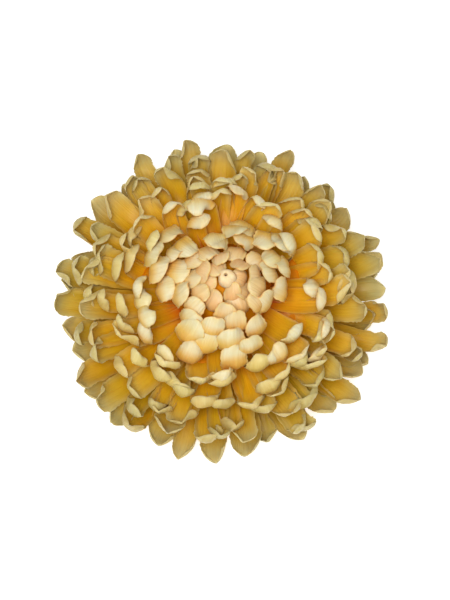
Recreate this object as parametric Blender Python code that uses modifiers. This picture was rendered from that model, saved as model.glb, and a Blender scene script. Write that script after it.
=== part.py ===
"""A cut chrysanthemum bloom lying on its back, facing up.

The bloom's axis is +Z and stands at the origin, on the centre of the stalk's cut end. One rule grows every floret:
they are numbered from the middle out, each a golden angle further round than the last, and a floret's reach,
height, lean, hood, width and cupping follow from its reach, with a small seeded draw. The inner florets close over
the middle, the ones round them open, and the last ring is what the bloom lies on.
"""

import math

import bmesh
import bpy
import numpy as np

# Lengths are in millimetres and angles in degrees; MM turns a length into Blender's metres
MM = 0.001
COLLECTION = "chrysanthemum"

# The dome of petal tips
DOME_RADIUS = 56.0
DOME_FOOT = 9.0  # height of its rim
DOME_RISE = 33.0  # height of its middle above the rim
DOME_POWER = 1.6  # 1 would be a cone and 2 a paraboloid

# How far the top of the head bows to the side, and over what heights
BOW = (2.2, -2.6)
BOW_FOOT = 10.0
BOW_RISE = 34.0

# Florets: where each kind ends and how far apart they stand
GOLDEN_ANGLE = math.radians(137.508)
KNOB_REACH = 3.4
CLOSED_REACH = 20.5
INNER_REACH = 27.5  # florets inside this are one solid with the closed ones
OPEN_REACH = 53.5
UNDER_COUNT = 34
SPACING_MIDDLE = 4.0
SPACING_GROWTH = 0.118  # per millimetre of reach
SPACING_RIM = 7.5

# Each floret has a row of draws between -1 and 1, in this order; fold and tone are for its looks only
SEED = 11
DRAWS = ("turn", "reach", "height", "pad", "width", "tip", "cup", "twist", "drift", "bend", "fold", "tone",
         "tip_twist", "point")

# Closed florets, at the middle of the mound and at its rim
CLOSED_PAD = (6.8, 10.4)
CLOSED_WIDTH = (6.4, 10.0)
CLOSED_CUP = (32.0, 40.0)
CLOSED_ROOT = ((1.2, 24.0), (5.0, 18.8))
CLOSED_ROOT_HEADING = (88.0, 28.0)
CLOSED_BEND = (96.0, 84.0)
CLOSED_SET_BACK = 0.34  # the bend's reach beyond the floret's own, in pads
CLOSED_DROP = 0.52  # the bend's depth below the dome, in pads
CLOSED_OVERHANG = 4.0  # how much steeper than the dome their tips lie
CLOSED_CLAW = 0.35  # width of the root as a share of the pad's
CLOSED_SPREAD = {"turn": 0.22, "reach": 0.07, "height": 1.4, "pad": 0.15, "width": 0.14, "tip": 17.0, "cup": 8.0,
                 "twist": 14.0, "drift": 1.2, "bend": 7.0, "tip_twist": 32.0, "point": 0.25}

# Open florets, next to the mound and at the rim of the bloom
OPEN_PAD = (10.4, 9.0)
OPEN_WIDTH = (9.4, 11.4)
OPEN_CUP = (52.0, 58.0)
OPEN_ROOT = ((9.5, 15.6), (11.0, 12.2))
INNER_ROOT = (7.0, 18.2)
OPEN_ROOT_HEADING = (24.0, -4.0)
OPEN_BEND = (76.0, 24.0)
OPEN_TIP = (150.0, 86.0)
OPEN_SET_BACK = (4.2, -2.6)  # the bend's reach beyond the floret's own
OPEN_DROP = (4.4, 1.4)  # the bend's depth below the dome
OPEN_CLAW = (0.35, 0.3)
OPEN_SPREAD = {"turn": 0.10, "reach": 1.3, "height": 1.6, "pad": 0.15, "width": 0.18, "tip": 32.0, "cup": 14.0,
               "twist": 14.0, "drift": 3.2, "bend": 10.0, "tip_twist": 40.0, "point": 0.34}

# Waves round the bloom, as (height, number, phase): they turn, lean and gather neighbouring florets together
TURN_WAVES = ((0.05, 5, 1.0),)
LEAN_WAVES = ((0.5, 3, 0.4), (0.5, 7, 2.0))
LEAN_TWIST = 24.0
LEAN_DRIFT = 2.0
TIER = 10.0  # open tips gather in tiers this far apart
TIER_PULL = 2.2
TIER_WAVES = ((1.6, 2, 1.1), (0.9, 5, 0.0))

# Three wide gaps round the mound, also waves: there it ends sooner, and the nearest open florets lean out; between
# the gaps it reaches further, and they close over it
GAPE_WAVES = ((1.0, 3, 2.8), (0.3, 1, 1.75))
GAPE_RUN = 0.42  # how far out this reaches, as a share of the open florets
GAPE_REACH = 8.0
GAPE_LIFT = 1.2
GAPE_LEAN = 20.0
GAPE_CURL = 24.0
MOUND_PULL = 4.0

# The last ring, which the bloom lies on, from its upper to its lower florets
UNDER_REACH = (50.0, 47.5)
UNDER_HEIGHT = (6.2, 0.6)
UNDER_ROOT_DROP = 1.6
UNDER_ROOT_HEADING = -14.0
UNDER_BEND = (2.0, -4.0)
UNDER_TIP = 58.0
UNDER_BROAD = 0.08
UNDER_LOOSE = 0.35  # how much of the others' turning and leaning it has
UNDER_SPREAD = {**OPEN_SPREAD, "reach": 0.02, "height": 0.4, "tip": 24.0, "bend": 5.0}

# Blades: a lens section, with its rows given along the stem and then along the pad
BLADE_THICKNESS = 0.9
BLADE_SHARE = 0.88  # of the petal's own width, so that thick neighbours run into each other less
INNER_ROWS = ((0.0, 0.94), (0.4, 0.88, 1.0))
OUTER_ROWS = ((0.0, 0.96), (0.5, 0.9, 1.0))
COLUMNS = (-1.0, 0.0, 1.0)
FLOOR = 0.1  # the lowest petals lie this far above the cut end's plane

# The shell that parts the inner florets from the outer ones: a bowl under them and a brim that turns in
BOWL_ROOT = (8.4, 17.0)
BOWL_ROOT_HEADING = 16.0
BOWL_BEND = (30.8, 27.0)
BOWL_BEND_HEADING = 62.0
BRIM_END = (17.0, 43.0)
BRIM_END_HEADING = 165.0
SHELL_CLEARANCE = 1.25  # from the shell to the middle of a blade on either side

# Core, receptacle and stalk, as outlines of (radius, height) from the top down
GAP = 0.3
SINK = 2.5  # how deep a floret's root goes into its core
CORE_SIDES = 16
OUTER_WALL = ((12.6, 17.3), (18.8, 18.9), (23.0, 20.4), (25.6, 20.8), (26.2, 18.0), (24.0, 13.8), (19.0, 10.8),
              (14.0, 9.6))
OUTER_CORE = ((0.0, 16.7), (9.2, 16.7), *OUTER_WALL, (0.0, 9.6))
INNER_WALL = ((3.4, 38.2), (8.0, 36.4), (12.5, 33.6), (17.0, 30.0), (20.5, 26.0), (20.0, 22.6), (14.0, 20.0),
              (9.6, 18.4), (8.0, 17.0))
KNOB = ((0.0, 41.6), (0.4, 41.7), (0.55, 43.0), (1.3, 43.2), (2.3, 42.7), (2.85, 41.4), (2.6, 39.4))
INNER_CORE = (*KNOB, *INNER_WALL, (0.0, 17.0))
STALK = (
    (0.0, 9.6 - GAP), (8.6, 9.6 - GAP), (9.6, 8.6), (8.2, 7.2), (5.4, 5.6), (3.3, 3.8), (2.7, 2.0), (2.6, 0.0),
    (0.0, 0.0),
)
STALK_SIDES = 16

# Bracts under the bloom: rows of (count, root radius, root height, tip radius, tip height, width)
BRACT_ROWS = ((11, 7.0, 7.3, 15.0, 7.2, 6.2), (8, 5.2, 5.6, 11.4, 4.8, 5.4))
BRACT_THICKNESS = 0.8
BRACT_RISE = 0.5


def lerp(a, b, t):
    return a + (b - a) * t


def smooth(t):
    """From 0 to 1 with no corner at either end."""
    t = np.clip(t, 0.0, 1.0)
    return t * t * (3 - 2 * t)


def bowed(points):
    """The whole head bows a little to one side: points shift the more the higher they are."""
    share = smooth((points[..., 2] - BOW_FOOT) / BOW_RISE)
    return points + np.stack([BOW[0] * share, BOW[1] * share, 0 * share], -1)


def dome_height(reach):
    return DOME_FOOT + DOME_RISE * (1 - (min(reach, DOME_RADIUS) / DOME_RADIUS) ** DOME_POWER)


def dome_slope(reach):
    """How steeply the dome falls at a reach, in degrees."""
    fall = DOME_RISE * DOME_POWER / DOME_RADIUS * (reach / DOME_RADIUS) ** (DOME_POWER - 1)
    return math.degrees(math.atan(fall))


def floret_reaches():
    """The reach of each floret, so that each has a square of ground as wide as the spacing there."""
    reach = np.linspace(KNOB_REACH, OPEN_REACH, 2000)
    spacing = np.minimum(SPACING_MIDDLE + SPACING_GROWTH * (reach - KNOB_REACH), SPACING_RIM)
    density = 2 * math.pi * reach / spacing**2
    steps = (density[1:] + density[:-1]) / 2 * np.diff(reach)
    count = np.concatenate([[0], np.cumsum(steps)])
    return np.interp(np.arange(int(count[-1])) + 0.5, count, reach)


def waves(azimuth, terms):
    """The sum of the given waves at an azimuth."""
    return sum(height * math.sin(number * azimuth + phase) for height, number, phase in terms)


def swings(draw, spread):
    """How far one floret is off the rule in each respect: its draws times their spreads."""
    return {name: share * draw[name] for name, share in spread.items()}


def closed_floret(reach, azimuth, draw):
    """A floret that stands up and closes over the middle, its hood lying on the ones further in."""
    off = swings(draw, CLOSED_SPREAD)
    t = reach / CLOSED_REACH
    reach = reach * (1 + off["reach"])
    pad = lerp(*CLOSED_PAD, t) * (1 + off["pad"])
    bend_heading = lerp(*CLOSED_BEND, t) + off["bend"]
    tip_heading = 180 - dome_slope(reach) + CLOSED_OVERHANG + off["tip"]
    return {
        "azimuth": azimuth + off["turn"] * (1 - 0.55 * t),
        "root": tuple(lerp(near, far, t) for near, far in zip(*CLOSED_ROOT)),
        "root_heading": lerp(*CLOSED_ROOT_HEADING, t),
        "bend": (reach + CLOSED_SET_BACK * pad, dome_height(reach) + off["height"] - CLOSED_DROP * pad),
        "bend_heading": bend_heading,
        "hood": tip_heading - bend_heading,
        "pad": pad,
        "width": lerp(*CLOSED_WIDTH, t) * (1 + off["width"]),
        "cup": lerp(*CLOSED_CUP, t) + off["cup"],
        "twist": off["twist"],
        "tip_twist": off["tip_twist"],
        "drift": off["drift"],
        "point": max(0.0, off["point"]),
        "claw": CLOSED_CLAW,
        "broadens": "late",
    }


def open_floret(reach, azimuth, draw, under):
    """A floret that leans out, lower and flatter the further out it is; under is 0 to 1 in the last ring."""
    q = max(0.0, (reach - CLOSED_REACH) / (OPEN_REACH - CLOSED_REACH))
    lean = waves(azimuth, LEAN_WAVES)
    gape = waves(azimuth, GAPE_WAVES) * max(0.0, 1 - q / GAPE_RUN)
    spread = max(0.0, gape)
    if under is None:
        off = swings(draw, OPEN_SPREAD)
        tier = 2 * math.pi * reach / TIER + waves(azimuth, TIER_WAVES)
        tip_reach = reach + TIER_PULL * math.sin(tier) + off["reach"] + GAPE_REACH * spread
        height = dome_height(tip_reach) + off["height"] - lerp(*OPEN_DROP, q) + GAPE_LIFT * spread
        root = tuple(lerp(near, far, q) for near, far in zip(*OPEN_ROOT))
        root_heading = lerp(*OPEN_ROOT_HEADING, q**0.9)
        bend_heading = lerp(*OPEN_BEND, q**0.7) + off["bend"] - GAPE_LEAN * spread
        tip_heading = lerp(*OPEN_TIP, q**0.5) - GAPE_CURL * gape + off["tip"]
        loose, broad = 1.0, 0.0
    else:
        off = swings(draw, UNDER_SPREAD)
        tip_reach = lerp(*UNDER_REACH, under) * (1 + off["reach"])
        height = lerp(*UNDER_HEIGHT, under) + off["height"]
        root = (OPEN_ROOT[1][0], OPEN_ROOT[1][1] - UNDER_ROOT_DROP)
        root_heading = UNDER_ROOT_HEADING
        bend_heading = lerp(*UNDER_BEND, under) + off["bend"]
        tip_heading = UNDER_TIP + off["tip"]
        loose, broad = UNDER_LOOSE, UNDER_BROAD
    return {
        "azimuth": azimuth + loose * (off["turn"] + waves(azimuth, TURN_WAVES)),
        "root": INNER_ROOT if reach < INNER_REACH else root,
        "root_heading": root_heading,
        "bend": (tip_reach + lerp(*OPEN_SET_BACK, q**0.7), height),
        "bend_heading": bend_heading,
        "hood": tip_heading - bend_heading,
        "pad": lerp(*OPEN_PAD, q) * (1 + off["pad"]),
        "width": lerp(*OPEN_WIDTH, min(1.0, 1.8 * q)) * (1 + off["width"] + broad),
        "cup": lerp(*OPEN_CUP, q) + off["cup"],
        "twist": loose * (off["twist"] + LEAN_TWIST * lean),
        "tip_twist": loose * off["tip_twist"],
        "drift": loose * (off["drift"] + LEAN_DRIFT * lean),
        "point": max(0.0, off["point"]),
        "claw": lerp(*OPEN_CLAW, min(1.0, 2 * q)),
        "broadens": "evenly",
    }


def florets():
    """Every floret of the bloom, the inner ones and then the outer ones with the last ring."""
    reaches = floret_reaches()
    count = len(reaches) + UNDER_COUNT
    draws = np.random.default_rng(SEED).uniform(-1, 1, (count, len(DRAWS)))
    inner, outer = [], []
    for i in range(count):
        azimuth = (i * GOLDEN_ANGLE) % (2 * math.pi)
        draw = dict(zip(DRAWS, draws[i]))
        if i >= len(reaches):
            under = (i - len(reaches) + 0.5) / UNDER_COUNT
            outer.append(open_floret(OPEN_REACH, azimuth, draw, under))
        elif reaches[i] < CLOSED_REACH - MOUND_PULL * waves(azimuth, GAPE_WAVES):
            inner.append(closed_floret(reaches[i], azimuth, draw))
        else:
            group = inner if reaches[i] < INNER_REACH else outer
            group.append(open_floret(reaches[i], azimuth, draw, None))
    return inner, outer


def stem_curve(root, root_heading, bend, bend_heading, samples=48):
    """A cubic curve in the plane of radius and height that leaves and arrives at the given headings."""
    root, bend = np.array(root), np.array(bend)
    handle = 0.4 * np.linalg.norm(bend - root)
    h0, h1 = math.radians(root_heading), math.radians(bend_heading)
    out = root + handle * np.array([math.cos(h0), math.sin(h0)])
    back = bend - handle * np.array([math.cos(h1), math.sin(h1)])
    s = np.linspace(0, 1, samples)[:, None]
    return (1 - s) ** 3 * root + 3 * (1 - s) ** 2 * s * out + 3 * (1 - s) * s**2 * back + s**3 * bend


def midrib(floret, hood_samples=24):
    """The stem's curve, then the pad, which turns by the hood, faster at first. Gives points and their arc."""
    stem = stem_curve(floret["root"], floret["root_heading"], floret["bend"], floret["bend_heading"])
    along = (np.arange(hood_samples) + 0.5) / hood_samples
    heading = np.radians(floret["bend_heading"] + floret["hood"] * along * (1.6 - 0.6 * along))
    step = floret["pad"] / hood_samples
    turn = np.cumsum(np.stack([np.cos(heading), np.sin(heading)], -1) * step, axis=0)
    points = np.concatenate([stem, stem[-1] + turn])
    arc = np.concatenate([[0], np.cumsum(np.linalg.norm(np.diff(points, axis=0), axis=1))])
    return points, arc


def half_width(floret, along, length):
    """A narrow claw that widens to the pad, and a rounded end."""
    half = floret["width"] * BLADE_SHARE / 2
    cap = min(0.5 * length, half * (1.0 + 0.6 * floret["point"]))
    if floret["broadens"] == "evenly":
        body = smooth(along / (length - cap)) ** 0.8
    else:
        body = smooth((along - (length - 1.7 * floret["pad"])) / (1.1 * floret["pad"]))
    end = np.clip((along - (length - cap)) / cap, 0, 1)
    return half * lerp(floret["claw"], 1.0, body) * (1 - end**2.4) ** (1 / 2.3 + floret["point"])


def shell():
    """The shell's outline: a flat bottom, the bowl and the brim, as points and the directions to its inside."""
    bottom = np.stack([np.linspace(0, BOWL_ROOT[0], 10)[:-1], np.full(9, BOWL_ROOT[1])], -1)
    curve = stem_curve(BOWL_ROOT, BOWL_ROOT_HEADING, BOWL_BEND, BOWL_BEND_HEADING)
    brim = stem_curve(BOWL_BEND, BOWL_BEND_HEADING, BRIM_END, BRIM_END_HEADING)
    outline = np.concatenate([bottom, curve, brim[1:]])
    tangent = np.gradient(outline, axis=0)
    tangent /= np.linalg.norm(tangent, axis=1, keepdims=True)
    return outline, np.stack([-tangent[:, 1], tangent[:, 0]], -1)


def bend_clear(points, side):
    """Push points of (radial, sideways, height) off the shell where they come too near: side 1 is inside it."""
    outline, inward = shell()
    flat = points.reshape(-1, 3)
    radius = np.hypot(flat[:, 0], flat[:, 1])
    place = np.stack([radius, flat[:, 2]], -1)
    nearest = np.argmin(np.linalg.norm(place[:, None] - outline[None], axis=2), axis=1)
    off = inward[nearest] * side
    distance = np.sum((place - outline[nearest]) * off, axis=1)
    near = (distance < SHELL_CLEARANCE)[:, None]
    place = np.where(near, outline[nearest] + off * SHELL_CLEARANCE, place)
    scale = place[:, 0] / np.maximum(radius, 1e-6)
    return np.stack([flat[:, 0] * scale, flat[:, 1] * scale, place[:, 1]], -1).reshape(points.shape)


def root_arc(points, arc, wall):
    """How far along its midrib a floret starts: SINK before it leaves its core, by the core's wall."""
    up = sorted(wall, key=lambda place: place[1])
    limit = np.interp(points[:, 1], [height for _, height in up], [radius for radius, _ in up], right=0.0)
    outside = np.nonzero(points[:, 0] > limit)[0]
    return max(0.0, arc[outside[0]] - SINK)


def blade(floret, rows, side, wall):
    """Vertices and faces of one floret: a cupped sheet round its midrib, thick in the middle, sharp at the edges."""
    points, arc = midrib(floret)
    length = arc[-1]
    stem = length - floret["pad"]
    start = min(root_arc(points, arc, wall), stem - SINK)
    along = np.array([lerp(start, stem, s) for s in rows[0]] + [stem + floret["pad"] * s for s in rows[1]])
    centre = np.stack([np.interp(along, arc, points[:, k]) for k in (0, 1)], -1)
    ahead = np.stack([np.interp(np.minimum(along + 0.5, length), arc, points[:, k]) for k in (0, 1)], -1)
    behind = np.stack([np.interp(np.maximum(along - 0.5, 0), arc, points[:, k]) for k in (0, 1)], -1)
    tangent = ahead - behind
    tangent /= np.linalg.norm(tangent, axis=1, keepdims=True)
    across = np.array(COLUMNS)[None, :]
    half = half_width(floret, along, length)[:, None]
    cup = (math.radians(floret["cup"]) * (0.8 + 0.5 * np.clip(along / length * 2 - 1, 0, 1)))[:, None]
    sideways = half * np.sin(cup * across) / cup
    lift = half * (1 - np.cos(cup * across)) / cup
    on_pad = smooth((along - stem) / floret["pad"])[:, None]
    share = (along / length)[:, None]
    twist = math.radians(floret["twist"]) * share + math.radians(floret["tip_twist"]) * on_pad
    sideways, lift = (
        sideways * np.cos(twist) - lift * np.sin(twist),
        sideways * np.sin(twist) + lift * np.cos(twist),
    )
    grid = np.stack(
        [
            centre[:, :1] - tangent[:, 1:] * lift,
            sideways + floret["drift"] * share**2,
            centre[:, 1:] + tangent[:, :1] * lift,
        ],
        -1,
    )
    grid = bend_clear(grid, side)
    grid[..., 2] = np.maximum(grid[..., 2], FLOOR + BLADE_THICKNESS / 2)
    normal = np.cross(np.gradient(grid, axis=0), np.gradient(grid, axis=1))[:-1, 1]
    offset = normal / np.linalg.norm(normal, axis=1, keepdims=True) * BLADE_THICKNESS / 2
    return lens_mesh(grid, offset, floret["azimuth"])


def lens_mesh(grid, offset, turn):
    """Close a three-column grid as a lens: a front and a back ridge between two edges, ending in one tip."""
    rows = len(grid) - 1
    left, centre, right = grid[:-1, 0], grid[:-1, 1], grid[:-1, 2]
    tip = grid[-1, 1][None]
    vertices = np.concatenate([left, centre + offset, right, centre - offset, tip])
    c, s = math.cos(turn), math.sin(turn)
    x, y = vertices[:, 0].copy(), vertices[:, 1].copy()
    vertices = bowed(np.stack([x * c - y * s, x * s + y * c, vertices[:, 2]], -1))
    faces = []
    for strip in range(4):
        a, b = strip * rows, (strip + 1) % 4 * rows
        outward = strip < 2
        for row in range(rows - 1):
            corners = (a + row, a + row + 1, b + row + 1, b + row)
            halves = ((0, 1, 2), (0, 2, 3)) if outward else ((1, 2, 3), (0, 1, 3))
            faces += [tuple(corners[k] for k in half) for half in halves]
        faces.append((a + rows - 1, 4 * rows, b + rows - 1))
    faces += [(0, rows, 2 * rows), (0, 2 * rows, 3 * rows)]
    return vertices * MM, faces


def material(name, colour, roughness):
    made = bpy.data.materials.new(name)
    made.use_nodes = True
    shader = made.node_tree.nodes["Principled BSDF"]
    shader.inputs["Base Color"].default_value = (*colour, 1.0)
    shader.inputs["Roughness"].default_value = roughness
    shader.inputs["Metallic"].default_value = 0.0
    return made


def link(name, mesh, collection):
    made = bpy.data.objects.new(name, mesh)
    collection.objects.link(made)
    return made


def turned(name, outline, sides, collection):
    """A turned solid: the outline, from the top down, taken round the axis."""
    mesh = bpy.data.meshes.new(name)
    points = [(radius * MM, 0.0, height * MM) for radius, height in outline]
    mesh.from_pydata(points, [(i, i + 1) for i in range(len(points) - 1)], [])
    made = link(name, mesh, collection)
    screw = made.modifiers.new("turn", "SCREW")
    screw.steps = screw.render_steps = sides
    screw.use_merge_vertices = True
    screw.merge_threshold = 0.00001
    screw.use_normal_calculate = True
    return made


def keep_largest(mesh):
    """Drop what isn't joined to the largest shell: loose scraps, and the walls of hollows that fusing sealed."""
    solid = bmesh.new()
    solid.from_mesh(mesh)
    shells = []
    waiting = set(solid.verts)
    while waiting:
        shell, front = set(), {waiting.pop()}
        while front:
            vertex = front.pop()
            shell.add(vertex)
            front |= {edge.other_vert(vertex) for edge in vertex.link_edges} & waiting
            waiting -= front
        shells.append(shell)
    largest = max(shells, key=len)
    scraps = [vertex for vertex in solid.verts if vertex not in largest]
    bmesh.ops.delete(solid, geom=scraps, context="VERTS")
    solid.to_mesh(mesh)
    solid.free()


def apply_modifiers(made):
    """Swap an object's mesh for the one that its modifiers give."""
    bpy.context.view_layer.update()
    graph = bpy.context.evaluated_depsgraph_get()
    mesh = bpy.data.meshes.new_from_object(made.evaluated_get(graph))
    made.modifiers.clear()
    made.data = mesh


def fuse(made, pieces):
    """Join a collection's pieces onto an object in one union, then remove them."""
    union = made.modifiers.new("fuse", "BOOLEAN")
    union.operation = "UNION"
    union.operand_type = "COLLECTION"
    union.collection = pieces
    union.solver = "MANIFOLD"
    apply_modifiers(made)
    for piece in list(pieces.objects):
        bpy.data.objects.remove(piece)
    bpy.data.collections.remove(pieces)


def grown(name, core, blades, paint):
    """One node: a core with blades fused to it."""
    apply_modifiers(core)
    for vertex in core.data.vertices:
        vertex.co = (bowed(np.array(vertex.co) / MM) * MM).tolist()
    pieces = bpy.data.collections.new(name + "_pieces")
    bpy.context.scene.collection.children.link(pieces)
    for number, (vertices, faces) in enumerate(blades):
        mesh = bpy.data.meshes.new(name + "_blade")
        mesh.from_pydata(vertices.tolist(), [], faces)
        link(f"{name}_blade_{number}", mesh, pieces)
    fuse(core, pieces)
    keep_largest(core.data)
    core.data.materials.clear()
    core.data.materials.append(paint)
    return core


def bracts():
    """Short pointed scales in rows round the receptacle, each row half a step round from the last."""
    made = []
    for row, (count, root_radius, root_height, tip_radius, tip_height, width) in enumerate(BRACT_ROWS):
        for k in range(count):
            along = np.array([0.0, 0.45, 0.8, 1.0])
            radius = lerp(root_radius, tip_radius, along)
            height = lerp(root_height, tip_height, along) + BRACT_RISE * np.sin(math.pi * along)
            half = width / 2 * np.array([0.8, 1.0, 0.75, 0.0])
            edge = np.array(COLUMNS)
            grid = np.stack(
                [
                    radius[:, None] * np.ones(3),
                    half[:, None] * edge,
                    height[:, None] + 0.12 * half[:, None] * np.abs(edge),
                ],
                -1,
            )
            offset = np.tile([0.0, 0.0, BRACT_THICKNESS / 2], (3, 1))
            turn = 2 * math.pi * (k + row * 0.5) / count
            made.append(lens_mesh(grid, offset, turn))
    return made


def main():
    for old in list(bpy.data.objects):
        bpy.data.objects.remove(old)
    bloom = bpy.data.collections.new(COLLECTION)
    bpy.context.scene.collection.children.link(bloom)
    inner, outer = florets()

    green = material("stalk_green", (0.16, 0.22, 0.06), 0.6)
    gold = material("petal_gold", (0.78, 0.50, 0.14), 0.6)
    cream = material("petal_cream", (0.88, 0.72, 0.46), 0.6)

    grown("stalk", turned("stalk", STALK, STALK_SIDES, bloom), bracts(), green)
    outer_blades = [blade(floret, OUTER_ROWS, -1, OUTER_WALL) for floret in outer]
    grown("outer_florets", turned("outer_florets", OUTER_CORE, CORE_SIDES, bloom), outer_blades, gold)
    inner_blades = [blade(floret, INNER_ROWS, 1, INNER_WALL) for floret in inner]
    grown("inner_florets", turned("inner_florets", INNER_CORE, CORE_SIDES, bloom), inner_blades, cream)


main()
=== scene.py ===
"""The looks of a cut chrysanthemum bloom: fine florets, knob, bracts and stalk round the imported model.

Every floret is a sheet over two parameters, along its midrib and across it. The midrib is a cubic curve
from the root to the bend and a turning arc over the pad; across it the sheet is an arc of a circle, twisted
along the way. Lengths in the rule are millimetres and angles degrees. Colours run by the distance from the
petal's tip.
"""

import math

import bpy
import numpy as np
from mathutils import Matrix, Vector


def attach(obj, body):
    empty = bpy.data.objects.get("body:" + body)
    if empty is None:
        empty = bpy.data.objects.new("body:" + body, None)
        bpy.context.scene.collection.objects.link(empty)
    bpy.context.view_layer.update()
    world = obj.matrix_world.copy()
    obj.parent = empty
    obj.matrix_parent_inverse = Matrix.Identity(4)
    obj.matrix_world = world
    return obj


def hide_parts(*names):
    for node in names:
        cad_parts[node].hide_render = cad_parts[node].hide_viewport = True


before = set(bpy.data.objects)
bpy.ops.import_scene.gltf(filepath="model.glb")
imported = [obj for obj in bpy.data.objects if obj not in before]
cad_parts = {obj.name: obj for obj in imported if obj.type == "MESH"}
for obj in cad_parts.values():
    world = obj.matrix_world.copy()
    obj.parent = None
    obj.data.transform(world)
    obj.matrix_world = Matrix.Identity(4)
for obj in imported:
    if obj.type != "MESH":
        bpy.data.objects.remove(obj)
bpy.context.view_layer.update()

MM = 0.001
ROOT_BODY = "root"

# The dome of petal tips
DOME_RADIUS = 56.0
DOME_FOOT = 9.0
DOME_RISE = 33.0
DOME_POWER = 1.6

# How far the top of the head bows to the side, and over what heights
BOW = (2.2, -2.6)
BOW_FOOT = 10.0
BOW_RISE = 34.0

# Florets: where each kind ends and how far apart they stand
GOLDEN_ANGLE = math.radians(137.508)
KNOB_REACH = 3.4
CLOSED_REACH = 20.5
INNER_REACH = 27.5
OPEN_REACH = 53.5
UNDER_COUNT = 34
SPACING_MIDDLE = 4.0
SPACING_GROWTH = 0.118
SPACING_RIM = 7.5
REACH_SAMPLES = 2000
FLOOR = 0.1

# Each floret has a row of draws between -1 and 1, in this order; fold and tone are for its looks
SEED = 11
DRAWS = ("turn", "reach", "height", "pad", "width", "tip", "cup", "twist", "drift", "bend", "fold", "tone",
         "tip_twist", "point")

# Closed florets, at the middle of the mound and at its rim
CLOSED_PAD = (6.8, 10.4)
CLOSED_WIDTH = (6.4, 10.0)
CLOSED_CUP = (32.0, 40.0)
CLOSED_ROOT = ((1.2, 24.0), (5.0, 18.8))
CLOSED_ROOT_HEADING = (88.0, 28.0)
CLOSED_BEND = (96.0, 84.0)
CLOSED_SET_BACK = 0.34  # the bend's reach beyond the floret's own, in pads
CLOSED_DROP = 0.52  # the bend's depth below the dome, in pads
CLOSED_OVERHANG = 4.0  # how much further in than the dome's slope their tips turn
CLOSED_STEADIER = 0.55  # how much less the florets at the mound's rim are turned
CLOSED_SPREAD = {"turn": 0.22, "reach": 0.07, "height": 1.4, "pad": 0.15, "width": 0.14, "tip": 17.0,
                 "cup": 8.0, "twist": 14.0, "drift": 1.2, "bend": 7.0, "tip_twist": 32.0, "point": 0.25}

# Open florets, next to the mound and at the rim of the bloom
OPEN_PAD = (10.4, 9.0)
OPEN_WIDTH = (9.4, 11.4)
OPEN_CUP = (52.0, 58.0)
OPEN_ROOT = ((9.5, 15.6), (11.0, 12.2))
INNER_ROOT = (7.0, 18.2)
OPEN_ROOT_HEADING = (24.0, -4.0)
OPEN_BEND = (76.0, 24.0)
OPEN_TIP = (150.0, 86.0)
OPEN_SET_BACK = (4.2, -2.6)  # the bend's reach beyond the floret's own
OPEN_DROP = (4.4, 1.4)  # the bend's depth below the dome
OPEN_SPREAD = {"turn": 0.10, "reach": 1.3, "height": 1.6, "pad": 0.15, "width": 0.18, "tip": 32.0,
               "cup": 14.0, "twist": 14.0, "drift": 3.2, "bend": 10.0, "tip_twist": 40.0, "point": 0.34}

# How soon each respect of the open florets nears its value at the rim: powers of how far out they are, and
# the rates of those that get there before the rim
ROOT_HEADING_POWER = 0.9
BEND_POWER = 0.7
TIP_POWER = 0.5
WIDTH_RATE = 1.8
CLAW_RATE = 2.0

# Waves round the bloom, as (height, number, phase): they turn, lean and gather neighbouring florets
TURN_WAVES = ((0.05, 5, 1.0),)
LEAN_WAVES = ((0.5, 3, 0.4), (0.5, 7, 2.0))
LEAN_TWIST = 24.0
LEAN_DRIFT = 2.0
TIER = 10.0  # open tips gather in tiers this far apart
TIER_PULL = 2.2
TIER_WAVES = ((1.6, 2, 1.1), (0.9, 5, 0.0))

# Three wide gaps round the mound, also waves: there it ends sooner, and the nearest open florets lean out;
# between the gaps it reaches further, and they close over it
GAPE_WAVES = ((1.0, 3, 2.8), (0.3, 1, 1.75))
GAPE_RUN = 0.42  # how far out this reaches, as a share of the open florets
GAPE_REACH = 8.0
GAPE_LIFT = 1.2
GAPE_LEAN = 20.0
GAPE_CURL = 24.0
MOUND_PULL = 4.0

# The last ring, which the bloom lies on, from its upper to its lower florets
UNDER_REACH = (50.0, 47.5)
UNDER_HEIGHT = (6.2, 0.6)
UNDER_ROOT_DROP = 1.6
UNDER_ROOT_HEADING = -14.0
UNDER_BEND = (2.0, -4.0)
UNDER_TIP = 58.0
UNDER_BROAD = 0.08
UNDER_LOOSE = 0.35  # how much of the others' turning and leaning it has
UNDER_SPREAD = {**OPEN_SPREAD, "reach": 0.02, "height": 0.4, "tip": 24.0, "bend": 5.0}

# What thin petals have beyond their solids: the widths of their roots as shares of the pads', how far the
# edge of the pad turns back, how far the margin waves, how much deeper the cup is, and how much further the
# end folds over
CLOSED_CLAW = 0.5
OPEN_CLAW = (0.72, 0.45)
CLOSED_LIP = 0.4
OPEN_LIP = 0.08
CLOSED_RUFFLE = 0.42
OPEN_RUFFLE = 0.26
OPEN_DEEPENS = 1.18
OPEN_CURL = (66.0, 6.0)
CURL_VARIES = 0.5

# The midrib
STEM_SAMPLES = 48
STEM_HANDLE = 0.4
PAD_SAMPLES = 30
PAD_HASTE = 0.6  # how much faster than evenly the pad turns at its start
CURL_POWER = 3

# The outline of a floret: its rounded end as shares of its half width, plain and added by a full point, and
# how it broadens, evenly or late, which is in pads
END_LEAST = 1.0
END_POINTED = 0.6
END_MOST = 0.5  # of the floret's length
END_POWER = 2.7
END_ROUND = 0.4
END_SHARPER = 0.15
EVEN_POWER = 0.8
LATE_START = 1.7
LATE_RUN = 1.1

# The sheet
ROWS = 30
COLUMNS = 13
ROW_POWER = 1.7  # rows gather towards the tip
THICKNESS = 0.36
THIN_POWER = 0.7  # how fast it thins at the margin and the tip
SINK = 2.5
PROBE = 0.5
CUP_ROOT = 0.8
CUP_GROWS = 0.5
UV_STEP = 20.0  # from one petal to the next in the UV map

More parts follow.
